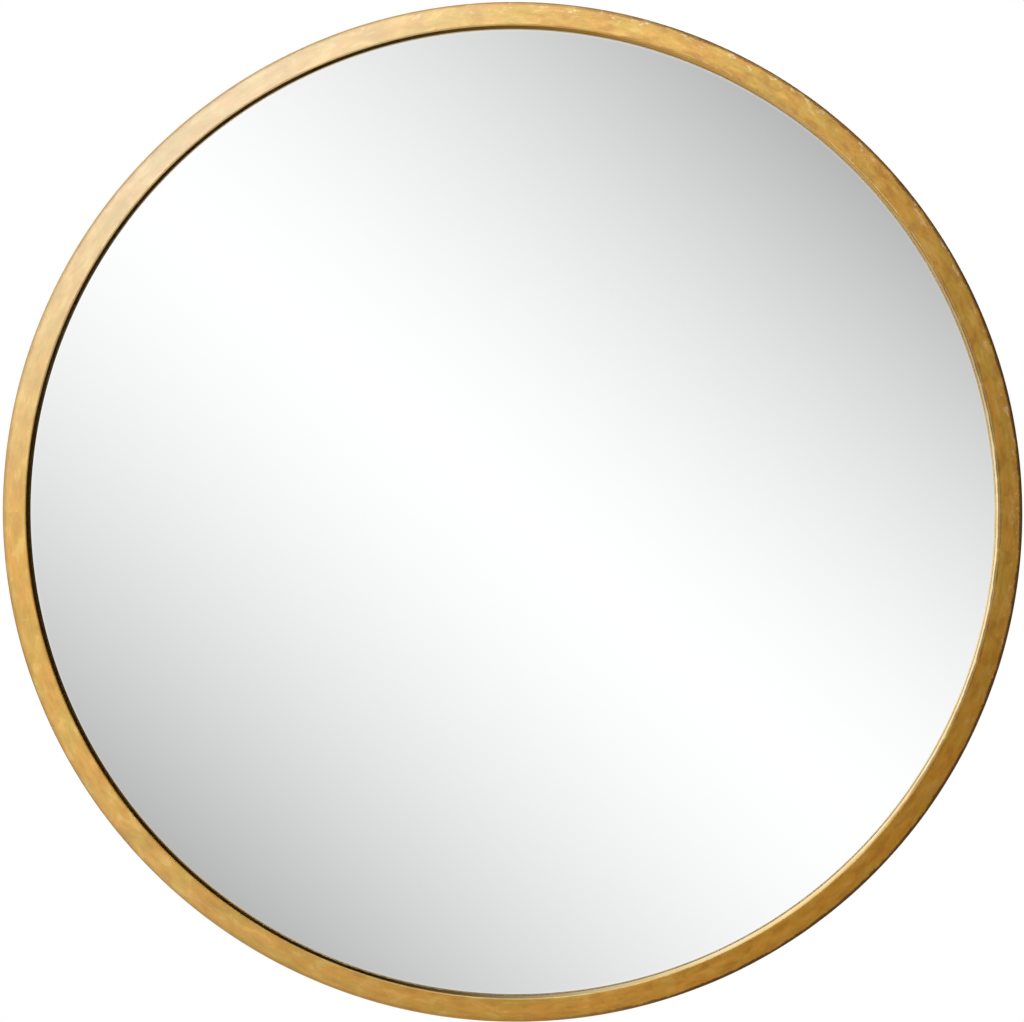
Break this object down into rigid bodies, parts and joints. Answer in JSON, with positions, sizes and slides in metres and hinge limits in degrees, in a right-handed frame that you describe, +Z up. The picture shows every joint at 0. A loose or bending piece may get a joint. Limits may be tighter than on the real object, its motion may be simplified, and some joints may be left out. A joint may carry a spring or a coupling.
{
  "type": "round convex wall mirror",
  "caption": "Round convex wall mirror: domed silvered glass in a slim gold-leafed steel ring, with a backboard held by turning catches, D-ring hangers and rubber wall pads.",
  "frame": {"origin": "on the wall plane, straight behind the middle of the glass", "axes": "+Z up, +Y into the wall (the mirror looks along -Y), +X to the right as seen from the front"},
  "size_m": [0.8, 0.0677, 0.8],
  "materials": {
    "gold_leaf": "satin",
    "silvered_glass": "polished",
    "black_felt": "matte",
    "packing_board": "matte",
    "fibreboard": "matte",
    "black_steel": "satin",
    "zinc_steel": "satin",
    "brassed_steel": "satin",
    "black_rubber": "matte"
  },
  "bodies": {
    "mirror_body": {"backboard": "fibreboard", "catch_screw_1": "zinc_steel", "catch_screw_2": "zinc_steel", "catch_screw_3": "zinc_steel", "catch_screw_4": "zinc_steel", "catch_screw_5": "zinc_steel", "catch_screw_6": "zinc_steel", "catch_screw_7": "zinc_steel", "catch_screw_8": "zinc_steel", "convex_mirror_glass": "silvered_glass", "felt_strip": "black_felt", "frame_lug_1": "black_steel", "frame_lug_2": "black_steel", "frame_lug_3": "black_steel", "frame_lug_4": "black_steel", "frame_lug_5": "black_steel", "frame_lug_6": "black_steel", "frame_lug_7": "black_steel", "frame_lug_8": "black_steel", "gilded_frame": "gold_leaf", "hanger_1_screw_1": "brassed_steel", "hanger_1_screw_2": "brassed_steel", "hanger_2_screw_1": "brassed_steel", "hanger_2_screw_2": "brassed_steel", "hanger_strap_1": "brassed_steel", "hanger_strap_2": "brassed_steel", "packing_ring": "packing_board", "wall_pad_1": "black_rubber", "wall_pad_2": "black_rubber", "wall_pad_3": "black_rubber", "wall_pad_4": "black_rubber"},
    "turn_catch_1": {"turn_catch_1": "zinc_steel"},
    "turn_catch_2": {"turn_catch_2": "zinc_steel"},
    "turn_catch_3": {"turn_catch_3": "zinc_steel"},
    "turn_catch_4": {"turn_catch_4": "zinc_steel"},
    "turn_catch_5": {"turn_catch_5": "zinc_steel"},
    "turn_catch_6": {"turn_catch_6": "zinc_steel"},
    "turn_catch_7": {"turn_catch_7": "zinc_steel"},
    "turn_catch_8": {"turn_catch_8": "zinc_steel"},
    "hanger_d_ring_1": {"hanger_d_ring_1": "brassed_steel"},
    "hanger_d_ring_2": {"hanger_d_ring_2": "brassed_steel"}
  },
  "joints": [
    {"name": "turn_catch_1_pivot", "type": "hinge", "parent": "mirror_body", "child": "turn_catch_1", "pos_m": [0.14958, -0.0068, 0.36112], "axis": [0, 1, 0], "range_deg": [-90, 90]},
    {"name": "turn_catch_2_pivot", "type": "hinge", "parent": "mirror_body", "child": "turn_catch_2", "pos_m": [0.36112, -0.0068, 0.14958], "axis": [0, 1, 0], "range_deg": [-90, 90]},
    {"name": "turn_catch_3_pivot", "type": "hinge", "parent": "mirror_body", "child": "turn_catch_3", "pos_m": [0.36112, -0.0068, -0.14958], "axis": [0, 1, 0], "range_deg": [-90, 90]},
    {"name": "turn_catch_4_pivot", "type": "hinge", "parent": "mirror_body", "child": "turn_catch_4", "pos_m": [0.14958, -0.0068, -0.36112], "axis": [0, 1, 0], "range_deg": [-90, 90]},
    {"name": "turn_catch_5_pivot", "type": "hinge", "parent": "mirror_body", "child": "turn_catch_5", "pos_m": [-0.14958, -0.0068, -0.36112], "axis": [0, 1, 0], "range_deg": [-90, 90]},
    {"name": "turn_catch_6_pivot", "type": "hinge", "parent": "mirror_body", "child": "turn_catch_6", "pos_m": [-0.36112, -0.0068, -0.14958], "axis": [0, 1, 0], "range_deg": [-90, 90]},
    {"name": "turn_catch_7_pivot", "type": "hinge", "parent": "mirror_body", "child": "turn_catch_7", "pos_m": [-0.36112, -0.0068, 0.14958], "axis": [0, 1, 0], "range_deg": [-90, 90]},
    {"name": "turn_catch_8_pivot", "type": "hinge", "parent": "mirror_body", "child": "turn_catch_8", "pos_m": [-0.14958, -0.0068, 0.36112], "axis": [0, 1, 0], "range_deg": [-90, 90]},
    {"name": "hanger_d_ring_1_pivot", "type": "hinge", "parent": "mirror_body", "child": "hanger_d_ring_1", "pos_m": [-0.29987, -0.0045, 0.14886], "axis": [-1, 0, 0], "range_deg": [0, 176]},
    {"name": "hanger_d_ring_2_pivot", "type": "hinge", "parent": "mirror_body", "child": "hanger_d_ring_2", "pos_m": [0.29987, -0.0045, 0.14886], "axis": [-1, 0, 0], "range_deg": [0, 176]}
  ]
}
